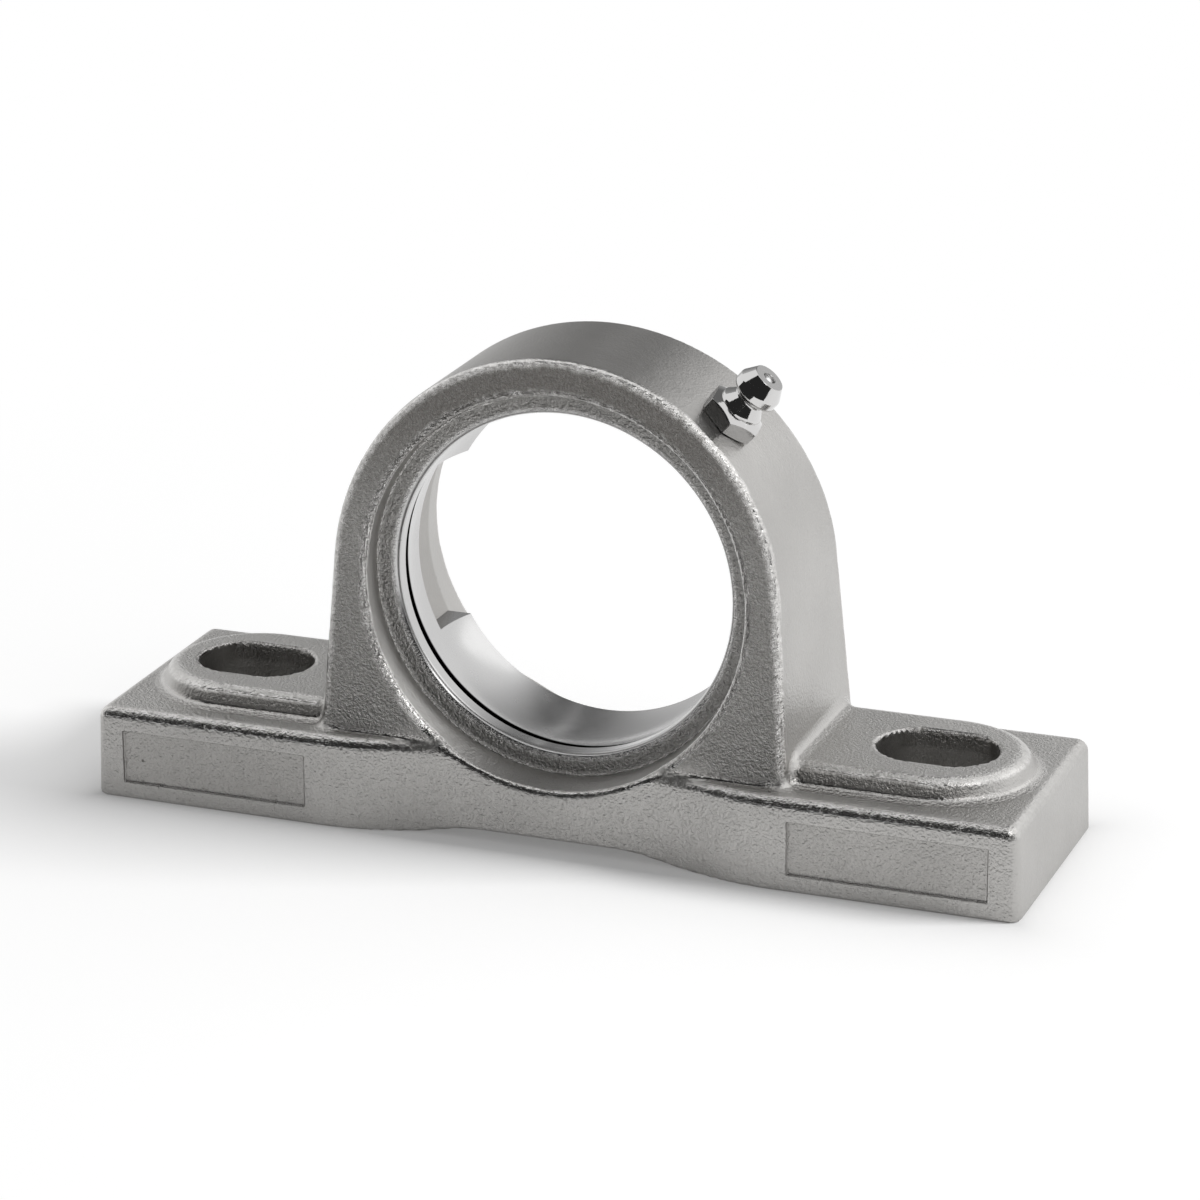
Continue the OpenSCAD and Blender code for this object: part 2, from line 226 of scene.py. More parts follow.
def floor_material():
    """White paper: lit and shadowed near the middle, plain white further out. Where it
    is lit it also glows, by the gap to the base plus CONTACT_NEAR over the gap plus
    CONTACT_FAR, so that the glow fades along the line of contact, a painted contact
    shadow."""
    material, tree, output = empty_material("white_table")
    place = add_node(tree, "TexCoord").outputs["Object"]
    reach = add_node(tree, "VectorMath", {0: place}, operation="LENGTH").outputs["Value"]
    fade = grey_ramp(tree, reach, *FLOOR_FADE)
    seen = seen_by(tree, "Is Camera Ray", "Is Glossy Ray")
    lit = add_node(tree, "BsdfDiffuse", {"Color": rgba(FLOOR_TINT)})
    along = add_node(tree, "SeparateXYZ", {0: place}).outputs
    gaps = []
    for axis in (0, 1):
        away = math_node(tree, "ABSOLUTE", along[axis])
        beyond = math_node(tree, "SUBTRACT", away, cad_box[1][axis])
        gaps.append(math_node(tree, "MAXIMUM", 0, beyond))
    gap = math_node(tree, "SQRT", summed(tree, (gaps[0], gaps[0]), (gaps[1], gaps[1])))
    # Painted contact shadow: the glow dims as the gap to the base closes.
    open_share = math_node(tree, "DIVIDE", math_node(tree, "ADD", gap, CONTACT_NEAR),
                           math_node(tree, "ADD", gap, CONTACT_FAR))
    glow = white_glow(tree, summed(tree, (seen, open_share, FLOOR_GLOW)))
    near = add_node(tree, "AddShader", {0: lit.outputs[0], 1: glow})
    white = white_glow(tree, seen)
    mix = add_node(tree, "MixShader", {0: fade, 1: near.outputs[0], 2: white})
    tree.links.new(mix.outputs[0], output.inputs["Surface"])
    return material


def stage_plane(name, corners, material):
    """A four-cornered sheet of the studio, which isn't part of the casting."""
    mesh = bpy.data.meshes.new(name)
    mesh.from_pydata([tuple(c) for c in corners], [], [(0, 1, 2, 3)])
    mesh.materials.append(material)
    sheet = bpy.data.objects.new(name, mesh)
    scene.collection.objects.link(sheet)
    return sheet


half = FLOOR_SIDE / 2
stage_plane("table", [(-half, -half, 0), (half, -half, 0), (half, half, 0),
                      (-half, half, 0)], floor_material())
print("table", FLOOR_SIDE, "m wide, plain white beyond", FLOOR_FADE[1], "m")

# %% [markdown]
# Cards and lamps
# A photographer shapes steel with cards, which change the surfaces that mirror them.
# A black one stands in front of the casting, so that the upper part of its front face
# turns dark while the lower part still mirrors the table. A grey one hangs behind, gets
# lighter towards both sides, and darkens the top of the arch. A bright strip before it
# leaves the soft streak in the seat, and a small bright card high on the right draws
# glints along the rims. All of them show in reflections only. The lamp behind gives the
# arch its bright shoulder. The lamp on the right throws the soft shadow on the table
# to the left, and shows in no reflection.

# %% Cards
FRONT_CARD = [(-0.9, -0.128, 0.009), (0.9, -0.128, 0.009), (0.9, -0.30, 0.9),
              (-0.9, -0.30, 0.9)]
BACK_CARD = [(-0.26, 0.22, 0.002), (0.14, 0.22, 0.11), (0.22, 0.22, 0.70),
             (-0.26, 0.22, 0.70)]
STREAK_CARD = [(-0.062, 0.219, 0.03), (-0.050, 0.219, 0.03), (-0.052, 0.219, 0.50),
               (-0.062, 0.219, 0.50)]
FRONT_LEVEL, BACK_LEVEL, STREAK_LEVEL, RIM_LEVEL = 0.025, 0.17, 0.62, 3.2
BACK_RIGHT, BACK_LEFT = (1.0, -0.35, -0.085, 0.025, 1.0), (-1.0, -0.25, 0.04, 0.18, 0.72)
RIM_PLACE, RIM_SIDE = (0.19, -0.105, 0.215), 0.10


def card_material(name, dark, *sides):
    """A card that shines by itself. It is dark, and turns lighter towards each side: a
    side says how X and Z sum to a distance, where the ramp starts and ends, and how
    light it gets."""
    material, tree, output = empty_material(name)
    place = add_node(tree, "TexCoord").outputs["Object"]
    along = add_node(tree, "SeparateXYZ", {0: place}).outputs
    level = dark
    for share_x, share_z, start, end, light in sides:
        away = summed(tree, (along[0], share_x), (along[2], share_z))
        ramp = grey_ramp(tree, away, start, end, dark, light)
        level = math_node(tree, "MAXIMUM", level, ramp)
    tree.links.new(white_glow(tree, level), output.inputs["Surface"])
    return material


def reflection_card(name, corners, *shade):
    """A card that only reflections see: it casts no shadow and lights nothing."""
    card = stage_plane(name, corners, card_material(name, *shade))
    card.visible_camera = False
    card.visible_diffuse = False
    card.visible_transmission = False
    card.visible_shadow = False


def facing_corners(middle, side):
    """Corners of a square card of that side at a place, which faces the casting."""
    towards = Vector(middle).normalized()
    across = towards.cross(Vector((0, 0, 1))).normalized() * side / 2
    upward = across.cross(towards).normalized() * side / 2
    return [Vector(middle) + across * a + upward * b
            for a, b in ((-1, -1), (1, -1), (1, 1), (-1, 1))]


reflection_card("front_card", FRONT_CARD, FRONT_LEVEL)
reflection_card("back_card", BACK_CARD, BACK_LEVEL, BACK_RIGHT, BACK_LEFT)
reflection_card("streak_card", STREAK_CARD, STREAK_LEVEL)
reflection_card("rim_card", facing_corners(RIM_PLACE, RIM_SIDE), RIM_LEVEL)

# %% Lamps
LAMP_AIM = (0, 0, 0.02)


def area_lamp(name, place, size, power):
    """A soft rectangular lamp at place that faces LAMP_AIM, low on the casting."""
    data = bpy.data.lights.new(name, "AREA")
    data.shape = "RECTANGLE"
    data.size, data.size_y = size
    data.energy = power
    lamp = bpy.data.objects.new(name, data)
    direction = Vector(LAMP_AIM) - Vector(place)
    lamp.matrix_world = (Matrix.Translation(place)
                         @ direction.to_track_quat("-Z", "Y").to_matrix().to_4x4())
    scene.collection.objects.link(lamp)
    return lamp


back_lamp = area_lamp("back_lamp", (0.48, 0.42, 0.50), (0.54, 0.46), 0.42)
side_lamp = area_lamp("side_lamp", (2.0, 0.50, 1.4), (0.75, 0.7), 48.0)
side_lamp.visible_glossy = False
print("lamps", {lamp.name: round(lamp.data.energy, 2) for lamp in (back_lamp, side_lamp)})

# %% [markdown]
# The blasted casting
# An investment casting leaves the mould with a fine, sandy skin. Here the skin is a
# metal of middling roughness, raised in grains 0.4 mm across over slower waves. A few
# pits lie between them. Blasting and handling change the skin from place to place, and
# shade is painted in as well, so four values that every point of the mesh carries steer
# it: grain says how coarse the skin stands, edge marks roundings tinted bright, partly
# rubbed wear and partly a painted highlight, the third marks painted shade in the slots,
# on the bare panels, on the pads' forward sides and high on the arch's front, and gloss
# the places that are smoother. The low spots of the grain get painted shade as well.

# %% Finish of the casting
CAST_TINT, CAST_ROUGHNESS = (0.53, 0.52, 0.505), 0.39
# The first tint brightens roundings, partly rubbed wear and partly a painted highlight.
# The second is painted shade, and also the dark of the pits.
EDGE_TINT, SHADE_AND_PIT_TINT = (0.80, 0.79, 0.775), (0.15, 0.135, 0.12)
GRAIN_SIZE, WAVE_SIZE, CLOUD_SIZE = 0.00042, 0.0032, 0.016
STROKE_SIZE = 2.2 * GRAIN_SIZE
PIT_SPACING, PIT_SIZE = 0.0075, 0.00028
CARRIED = ("grain", "edge", "painted_shade", "gloss")


def carried(tree, name):
    """A value that the mesh carries at its points."""
    return add_node(tree, "Attribute", attribute_name=name).outputs["Fac"]


def cast_shader(tree, grain, edge, painted_shade, gloss):
    """Satin cast steel, as the output of a shader node. The height is in millimetres."""
    place = add_node(tree, "TexCoord").outputs["Object"]
    fine = noise(tree, place, GRAIN_SIZE, 2.0, 0.6)
    stroke = noise(tree, place, STROKE_SIZE, 2.0, 0.6)
    wave = noise(tree, place, WAVE_SIZE, 3.0)
    cloud = noise(tree, place, CLOUD_SIZE, 4.0)
    spots = add_node(tree, "TexVoronoi", {"Vector": place, "Scale": 1 / PIT_SPACING})
    near = grey_ramp(tree, spots.outputs["Distance"], PIT_SIZE / PIT_SPACING * 0.4,
                     PIT_SIZE / PIT_SPACING, 1.0, 0.0)
    picked = add_node(tree, "SeparateXYZ", {0: spots.outputs["Color"]}).outputs[0]
    pit = math_node(tree, "MULTIPLY", near, grey_ramp(tree, picked, 0.5, 0.55))
    height = summed(tree, (fine, 0.06), (fine, grain, 1.60), (fine, edge, 0.03),
                    (stroke, grain, 0.30), (stroke, edge, 0.07), (wave, 0.10),
                    (pit, -0.10))

    cloudy = grey_ramp(tree, cloud, 0.3, 0.7)
    # hollow darkens the low spots of the grain towards the dark tint: painted shade.
    hollow = grey_ramp(tree, fine, 0.30, 0.66, 0.45, 0.0)
    ridge = grey_ramp(tree, stroke, 0.36, 0.60, 0.15, 0.85)
    metal = mix_colours(tree, cloudy, rgba(CAST_TINT, 0.90), rgba(CAST_TINT))
    metal = mix_colours(tree, summed(tree, (grain, hollow)), metal, rgba(SHADE_AND_PIT_TINT))
    # Painted shade where the mesh carries it, mixed towards the dark tint.
    metal = mix_colours(tree, painted_shade, metal, rgba(SHADE_AND_PIT_TINT))
    metal = mix_colours(tree, pit, metal, rgba(SHADE_AND_PIT_TINT, 0.5))
    # Roundings take a brighter tint: partly rubbed wear, partly a painted highlight.
    metal = mix_colours(tree, summed(tree, (edge, ridge)), metal, rgba(EDGE_TINT))
    dull = summed(tree, (CAST_ROUGHNESS, 1.0), (painted_shade, 0.10), (gloss, -0.17),
                  (grain, -0.06), (fine, -0.05))
    return metal_shader(tree, metal, dull, height, MM)


def cast_material(name):
    """The casting's finish, steered by what the mesh carries."""
    material, tree, output = empty_material(name)
    values = [carried(tree, value) for value in CARRIED]
    tree.links.new(cast_shader(tree, *values), output.inputs["Surface"])
    return material


cast_steel = cast_material("cast_steel")
print("finish", cast_steel.name, "steered by", CARRIED)

# %% Finish of the plated and ground pieces
SCRATCH_SIZE, SMEAR_SIZE, WORN_ROUGHNESS = 0.0003, 0.0011, 0.35


def polished_material(name, colour, roughness):
    """Bright plated or ground steel with faint scratches. Where the mesh carries the
    value worn, the plating is dull."""
    material, tree, output = empty_material(name)
    place = add_node(tree, "TexCoord").outputs["Object"]
    scratches = noise(tree, place, SCRATCH_SIZE, 2.0)
    smear = noise(tree, place, SMEAR_SIZE, 2.0)
    height = summed(tree, (scratches, 0.002), (smear, 0.012))
    worn = carried(tree, "worn")
    tint = mix_colours(tree, worn, rgba(colour), rgba(colour, 0.6))
    dull = grey_ramp(tree, worn, 0, 1, roughness, WORN_ROUGHNESS)
    tree.links.new(metal_shader(tree, tint, dull, height, MM), output.inputs["Surface"])
    return material


plated_steel = polished_material("plated_steel", (0.64, 0.635, 0.63), 0.07)
ball_steel = polished_material("ball_steel", (0.72, 0.72, 0.72), 0.05)
spring_steel = polished_material("spring_steel", (0.45, 0.44, 0.43), 0.3)

# %% [markdown]
# Meshes from arrays
# All new pieces below are worked out with numpy as arrays of points and faces. These
# helpers write such arrays into a Blender mesh in one go, in metres, make it a piece
# that rides on the block, and give it its finish.

# %% Helpers for pieces


def mesh_from_arrays(name, points, *groups):
    """A mesh of points in millimetres, shaded smooth. The faces come in groups, and all
    faces of a group have equally many corners."""
    corners = np.concatenate([faces.ravel() for faces in groups])
    sizes = np.concatenate([np.full(len(faces), faces.shape[1]) for faces in groups])
    mesh = bpy.data.meshes.new(name)
    mesh.vertices.add(len(points))
    mesh.vertices.foreach_set("co", np.asarray(points * MM, np.float32).ravel())
    mesh.loops.add(len(corners))
    mesh.loops.foreach_set("vertex_index", corners.astype(np.int32))
    mesh.polygons.add(len(sizes))
    mesh.polygons.foreach_set("loop_start", np.cumsum(sizes) - sizes)
    mesh.update(calc_edges=True)
    mesh.validate()
    mesh.polygons.foreach_set("use_smooth", np.ones(len(mesh.polygons), bool))
    return mesh


def carry(mesh, **values):
    """Stores one number for every point of the mesh under each name."""
    for name, numbers in values.items():
        layer = mesh.attributes.new(name, "FLOAT", "POINT")
        layer.data.foreach_set("value", np.asarray(numbers, np.float32))


def piece_from_mesh(mesh, material, body):
    """A piece of the object from a finished mesh, riding on its body."""
    piece = bpy.data.objects.new(mesh.name, mesh)
    scene.collection.objects.link(piece)
    mesh.materials.clear()
    mesh.materials.append(material)
    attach(piece, body)
    triangles = len(mesh.loops) - 2 * len(mesh.polygons)
    print(mesh.name, len(mesh.vertices), "points,", triangles, "triangles")
    return piece


# %% [markdown]
# The casting as a distance field
# On the real part the base, the pads and the arch run into each other through fillets,
# and every edge is rounded, because wax and steel don't fill sharp corners. Bevelled
# solids would show hard joins there. So the body is written as a field: a function that
# gives, for any point, about how far it is from the skin, negative inside the metal.
# Two fields joined by a rounded rule give a fillet, and cut by one, a rounded edge.

# %% Rules that join and cut


def joined(first, second, radius):
    """Union with a concave fillet: within radius of both skins the distance turns into
    radius less the length of the two remaining distances, a quarter circle."""
    reach = np.hypot(np.maximum(radius - first, 0), np.maximum(radius - second, 0))
    return np.maximum(np.minimum(first, second), radius) - reach


def trimmed(first, second, radius):
    """Intersection with a convex rounding: the same quarter circle, turned outwards."""
    reach = np.hypot(np.maximum(radius + first, 0), np.maximum(radius + second, 0))
    return np.minimum(np.maximum(first, second), -radius) + reach


def smooth_step(value, low, high):
    """0 below low, 1 above high, and an S curve between them."""
    share = np.clip((value - low) / (high - low), 0, 1)
    return share * share * (3 - 2 * share)


# %% Sizes of the casting in millimetres, after the part's source
BASE_LENGTH, BASE_WIDTH, FOOT_HEIGHT = 140.0, 38.0, 13.7
WAIST_WIDTH, WAIST_LENGTH, WAIST_REACH = 32.4, 28.0, 68.0
BLEND_RUN, BLEND_RISE = (WAIST_REACH - WAIST_LENGTH) / 4, (BASE_WIDTH - WAIST_WIDTH) / 4
BLEND_RADIUS = (BLEND_RUN ** 2 + BLEND_RISE ** 2) / (2 * BLEND_RISE)
FOOT_EDGE, FOOT_CORNER, BOTTOM_EDGE, END_DRAFT = 1.7, 1.7, 0.4, 0.5
RELIEF_HEIGHT, RELIEF_FLAT, RELIEF_REACH = 1.6, 20.0, 46.0
SLOT_PLACE, SLOT_WIDTH, SLOT_LENGTH, SLOT_EDGE = 52.5, 13.0, 17.5, 0.35
PAD_HEIGHT, PAD_WIDTH, PAD_END, PAD_SLOPE = 16.8, 24.0, 65.0, 30.0
PAD_START, PAD_FOOT, PAD_EDGE, PAD_ROOT = 30.0, 11.0, 1.1, 0.9
PANEL_LENGTH, PANEL_HEIGHT, PANEL_BOTTOM, PANEL_PLACE = 28.8, 7.8, 2.6, 51.0
PANEL_DEPTH, PANEL_EDGE = 0.4, 0.12
CENTRE, ARCH_RADIUS, LEG_FLARE = 37.5, 33.5, math.radians(4)
CROWN_FRONT, CROWN_BACK, ARCH_EDGE = 11.9, 9.9, 1.1
FRONT_LEAN, BACK_LEAN = math.radians(3.7), math.radians(5.5)
CROWN = CENTRE + ARCH_RADIUS
RECESS_FLOOR, RECESS_WALL, RECESS_SLOPE = 10.2, 28.1, math.tan(math.radians(5))
BACK_FLOOR, BACK_WALL, LIP_EDGE = 8.0, 28.0, 1.0
LOADING_WALL, LOADING_HALF, LOADING_DEPTH = 28.03, 12.5, 8.5
RING_SPACE, HIDDEN = 27.3, 1.2
ROOT_FRONT, ROOT_GROWTH, ROOT_LEAST = 0.8, 1.1, 0.06
ROOT_LEG, ROOT_LOW = (31.5, 34.5), (8.0, 12.5)
NIPPLE_ANGLE, NIPPLE_FRONT = math.radians(48), 3.5

# %% [markdown]
# The base, the pads and the arch
# The base is a long foot with a narrower waist, joined by an S curve of two arcs. The
# pads are raised ovals with sloping sides. The arch is a ring outline that runs down
# into two flared legs, between two faces that lean inwards towards the top.

# %% Fields of the parts


def base_field(x, y, z):
    """Plan outline with an S-shaped side, rounded at its corners and along its top."""
    along = np.abs(x)
    waist, foot = WAIST_WIDTH / 2, BASE_WIDTH / 2
    start, end = WAIST_LENGTH / 2, WAIST_REACH / 2
    hollow = np.clip(along - start, 0, (end - start) / 2)
    round_part = np.clip(end - along, 0, (end - start) / 2)
    near = waist + BLEND_RADIUS - np.sqrt(BLEND_RADIUS ** 2 - hollow ** 2)
    far = foot - BLEND_RADIUS + np.sqrt(BLEND_RADIUS ** 2 - round_part ** 2)
    half = np.where(along < (start + end) / 2, near, far)
    side = np.abs(y) - half
    tip = along - BASE_LENGTH / 2 + END_DRAFT * z / FOOT_HEIGHT
    return trimmed(trimmed(side, tip, FOOT_CORNER), z - FOOT_HEIGHT, FOOT_EDGE)


def pad_field(x, y, z):
    """Oval round each slot: distance from its middle line, with sloping sides. It ends
    inside the arch and the base, before it could come out of their other sides."""
    along = np.abs(x)
    oval = np.hypot(np.maximum(along - (PAD_END - PAD_WIDTH / 2), 0), y) - PAD_WIDTH / 2
    slope = math.radians(PAD_SLOPE)
    side = (oval - (PAD_HEIGHT - z) * math.tan(slope)) * math.cos(slope)
    hidden = np.maximum(PAD_START - along, PAD_FOOT - z)
    return np.maximum(trimmed(side, z - PAD_HEIGHT, PAD_EDGE), hidden)


def arch_field(x, y, z):
    """Outline of a circle with tangent legs, between two leaning faces."""
    along, up = np.abs(x), z - CENTRE
    sine, cosine = math.sin(LEG_FLARE), math.cos(LEG_FLARE)
    leg = along * cosine + up * sine - ARCH_RADIUS
    ring = np.hypot(along, up) - ARCH_RADIUS
    outline = np.where(up * cosine > along * sine, ring, leg)
    front = (-y - CROWN_FRONT - (CROWN - z) * math.tan(FRONT_LEAN)) * math.cos(FRONT_LEAN)
    back = (y - CROWN_BACK - (CROWN - z) * math.tan(BACK_LEAN)) * math.cos(BACK_LEAN)
    return trimmed(outline, np.maximum(front, back), ARCH_EDGE)


def slot_depth(along, y):
    """Distance inside the outline of a bolt slot, negative in the metal round it."""
    middle = np.maximum(np.abs(along - SLOT_PLACE) - (SLOT_LENGTH - SLOT_WIDTH) / 2, 0)
    return SLOT_WIDTH / 2 - np.hypot(middle, y)


def panel_outline(along, z):
    """Distance outside the rectangle of a bare panel, negative within it."""
    wide = np.abs(along - PANEL_PLACE) - PANEL_LENGTH / 2
    high = np.abs(z - PANEL_BOTTOM - PANEL_HEIGHT / 2) - PANEL_HEIGHT / 2
    return np.maximum(wide, high)


def housing_field(x, y, z):
    """The whole casting: parts joined by fillets, then every opening cut away. The bore
    is cleared as far as RING_SPACE for the machined seat, which is its own piece."""
    along, up = np.abs(x), z - CENTRE
    body = joined(base_field(x, y, z), pad_field(x, y, z), PAD_ROOT)
    # The fillet is widest beside the legs. Low down, where the arch and the base lie
    # almost in one plane, it nearly closes, because there it would swell out of both.
    root = ROOT_FRONT + ROOT_GROWTH * smooth_step(along, *ROOT_LEG)
    root = root * (ROOT_LEAST + (1 - ROOT_LEAST) * smooth_step(z, *ROOT_LOW))
    body = joined(body, arch_field(x, y, z), root)
    run = (RELIEF_REACH - RELIEF_FLAT) / 2
    share = np.clip((along - RELIEF_FLAT / 2) / run, 0, 1)
    ground = RELIEF_HEIGHT * (1 + np.cos(np.pi * share)) / 2
    body = trimmed(body, ground - z, BOTTOM_EDGE)

    body = trimmed(body, slot_depth(along, y), SLOT_EDGE)
    panel = np.maximum(panel_outline(along, z), y + BASE_WIDTH / 2 - PANEL_DEPTH)
    body = trimmed(body, -panel, PANEL_EDGE)

    radius = np.hypot(x, up)
    front = np.maximum(radius - RECESS_WALL - (-y - RECESS_FLOOR) * RECESS_SLOPE,
                       y + RECESS_FLOOR - HIDDEN)
    back = np.maximum(radius - BACK_WALL - (y - BACK_FLOOR) * RECESS_SLOPE,
                      BACK_FLOOR - HIDDEN - y)
    loading = np.maximum(
        np.maximum(radius - LOADING_WALL, np.abs(up) - LOADING_HALF - HIDDEN / 2),
        np.maximum(-y - HIDDEN, y - LOADING_DEPTH))
    body = trimmed(body, -front, LIP_EDGE)
    body = trimmed(body, -back, LIP_EDGE)
    body = np.maximum(body, RING_SPACE - radius)
    return np.maximum(body, -loading)


# %% [markdown]
# From the field to a skin
# The field is sampled on a grid whose lines lie closer together round the small steps
# of the bare panels. Each cell that the skin passes through gets one point, each grid
# edge that it crosses gets one quad, and then every point slides along the field's
# slope until it lies on the skin.

# %% Grid and net
STEP, FINE = 0.56, 0.24
GRID_X, GRID_Y, GRID_Z = (-70.9, 70.9), (-19.6, 19.6), (-0.6, 71.8)


def grid_lines(low, high, places, reach):
    """Coordinates from low to high, STEP apart, or FINE apart within reach of a place.
    The spacing is summed as lines per millimetre and cut into whole lines."""
    track = np.linspace(low, high, 20001)
    near = np.zeros(len(track))
    for place in places:
        near = np.maximum(near, 1 - smooth_step(np.abs(track - place), reach, 2.5 * reach))
    density = (1 - near) / STEP + near / FINE
    count = np.concatenate([[0], np.cumsum((density[1:] + density[:-1]) / 2)])
    count *= (high - low) / (len(track) - 1)
    return np.interp(np.linspace(0, count[-1], int(count[-1]) + 1), count, track)


def surface_net(axes, values):
    """One point per crossed cell, the mean of the crossings on its edges, and one quad
    across each crossed grid edge, wound so that it faces out of the negative side."""
    inside = values < 0
    cells = np.array(values.shape) - 1
    members, places, turned = [], [], []
    for axis in range(3):
        other = [(axis + 1) % 3, (axis + 2) % 3]
        low = [slice(None)] * 3
        high = [slice(None)] * 3
        low[axis], high[axis] = slice(None, -1), slice(1, None)
        start = np.argwhere(inside[tuple(low)] != inside[tuple(high)])
        end = start.copy()
        end[:, axis] += 1
        first, last = values[tuple(start.T)], values[tuple(end.T)]
        share = first / (first - last)
        place = np.column_stack([axes[d][start[:, d]] for d in range(3)])
        place[:, axis] += share * (axes[axis][end[:, axis]] - place[:, axis])
        corners = []
        for step in ((0, 0), (1, 0), (1, 1), (0, 1)):
            cell = start.copy()
            cell[:, other[0]] -= step[0]
            cell[:, other[1]] -= step[1]
            corners.append(np.ravel_multi_index(tuple(cell.T), cells))
        members.append(np.column_stack(corners))
        places.append(place)
        turned.append(first > 0)
    members, places = np.concatenate(members), np.concatenate(places)
    used, index = np.unique(members, return_inverse=True)
    index = index.reshape(members.shape)
    share = np.bincount(index.ravel(), minlength=len(used))
    points = np.column_stack([
        np.bincount(index.ravel(), np.repeat(places[:, d], 4), len(used)) / share
        for d in range(3)])
    turned = np.concatenate(turned)
    index[turned] = index[turned][:, ::-1]
    return points, index


def slope_of(field, points, step=0.02):
    """The field's gradient at points, from differences over a small step each way."""
    parts = []
    for axis in range(3):
        moved = np.zeros(3)
        moved[axis] = step
        ahead, behind = (points + moved).T, (points - moved).T
        parts.append((field(*ahead) - field(*behind)) / (2 * step))
    return np.column_stack(parts)


def settle(field, points, rounds=3, limit=0.3):
    """Slides points along the slope by their own distance, at most limit at a time."""
    for _ in range(rounds):
        slope = slope_of(field, points)
        size = np.maximum((slope ** 2).sum(1), 0.05)
        move = np.clip(field(*points.T), -limit, limit) / size
        points = points - slope * move[:, None]
    return points


panel_sides = [side * (PANEL_PLACE + end * PANEL_LENGTH / 2)
               for side in (-1, 1) for end in (-1, 1)]
axes = [grid_lines(*GRID_X, panel_sides, 0.35),
        grid_lines(*GRID_Y, [PANEL_DEPTH / 2 - BASE_WIDTH / 2], 0.5),
        grid_lines(*GRID_Z, [PANEL_BOTTOM, PANEL_BOTTOM + PANEL_HEIGHT], 0.35)]
values = housing_field(*np.ix_(*axes))
points, quads = surface_net(axes, values)
print("grid", values.shape, "skin of", len(points), "points and", len(quads), "quads")
points = settle(housing_field, points)

# %% [markdown]
# Fewer faces where the skin is flat
# The net spends as many faces on the flat sides as on the roundings. Blender's Decimate
# modifier takes most of the flat ones away, and the points are settled on the field
# once more. The shading normals come from the field's slope, so the light runs over
# the few large faces as smoothly as over the many small ones.

# %% Skin of the housing
MOST_TRIANGLES = 190000


def thinned(mesh, limit):
    """A copy of the mesh with at most limit triangles, made by the Decimate modifier."""
    carrier = bpy.data.objects.new("carrier", mesh)
    scene.collection.objects.link(carrier)
    triangles = len(mesh.loops) - 2 * len(mesh.polygons)
    decimate = carrier.modifiers.new("fewer faces", "DECIMATE")
    decimate.ratio = min(1.0, limit / triangles)
    graph = bpy.context.evaluated_depsgraph_get()
    result = bpy.data.meshes.new_from_object(carrier.evaluated_get(graph))
    bpy.data.objects.remove(carrier)
    return result


def mesh_points(mesh):
    """The mesh's vertices in millimetres as one array."""
    flat = np.empty(len(mesh.vertices) * 3, np.float32)
    mesh.vertices.foreach_get("co", flat)
    return flat.reshape(-1, 3).astype(float) / MM


skin = thinned(mesh_from_arrays("dense_skin", points, quads), MOST_TRIANGLES)
skin.name = "housing_body"
points = settle(housing_field, mesh_points(skin), 2, 0.05)
skin.vertices.foreach_set("co", np.asarray(points * MM, np.float32).ravel())
normals = slope_of(housing_field, points)
normals /= np.linalg.norm(normals, axis=1)[:, None]
skin.polygons.foreach_set("use_smooth", np.ones(len(skin.polygons), bool))
skin.update()
skin.normals_split_custom_set_from_vertices(normals.tolist())
print(skin.name, "thinned to", len(points), "points")

# %% [markdown]
# Where the skin changes
# Each value that the mesh carries comes from where a point lies, how it faces and how
# sharply the skin bends there. A pair of numbers below says where such a change starts
# and where it is complete: places in millimetres, facings as shares of the normal, and
# bends as one over a radius.

# %% Zones of the skin
BENT = (0.30, 0.80)
SIDEWAYS, FORWARD, UPWARD, TILTED = (0.75, 0.95), (0.55, 0.80), (0.80, 0.95), (0.10, 0.35)
SOLE, ABOVE_FEET, PAD_TOP, HIGH_UP = (1.5, 3.0), (13.0, 19.0), (17.5, 19.0), (44.0, 64.0)
CROWN_FACING, CROWN_RISE = (0.55, 0.90), (60.0, 66.0)
BEHIND_LIP, FRONT_HALF, FOOT_END, BORE_WALL = (-12, -8), (0, 8), (66, 69), (28.7, 29.6)
SLOT_RIM, PANEL_RIM, PANEL_FLOOR = (-0.45, -0.10), (0.6, 1.2), (-0.15, 0.1)
PAD_SIDE, PAD_FROM = (13.9, 14.3), 35.5


def bend_of(field, points, step=0.45):
    """How sharply the skin bends: the sum of the field's second differences along the
    three axes. It is about one over the radius of a rounding, negative in a fillet."""
    total = -6 * field(*points.T)
    for axis in range(3):
        moved = np.zeros(3)
        moved[axis] = step
        total = total + field(*(points + moved).T) + field(*(points - moved).T)
    return total / step ** 2


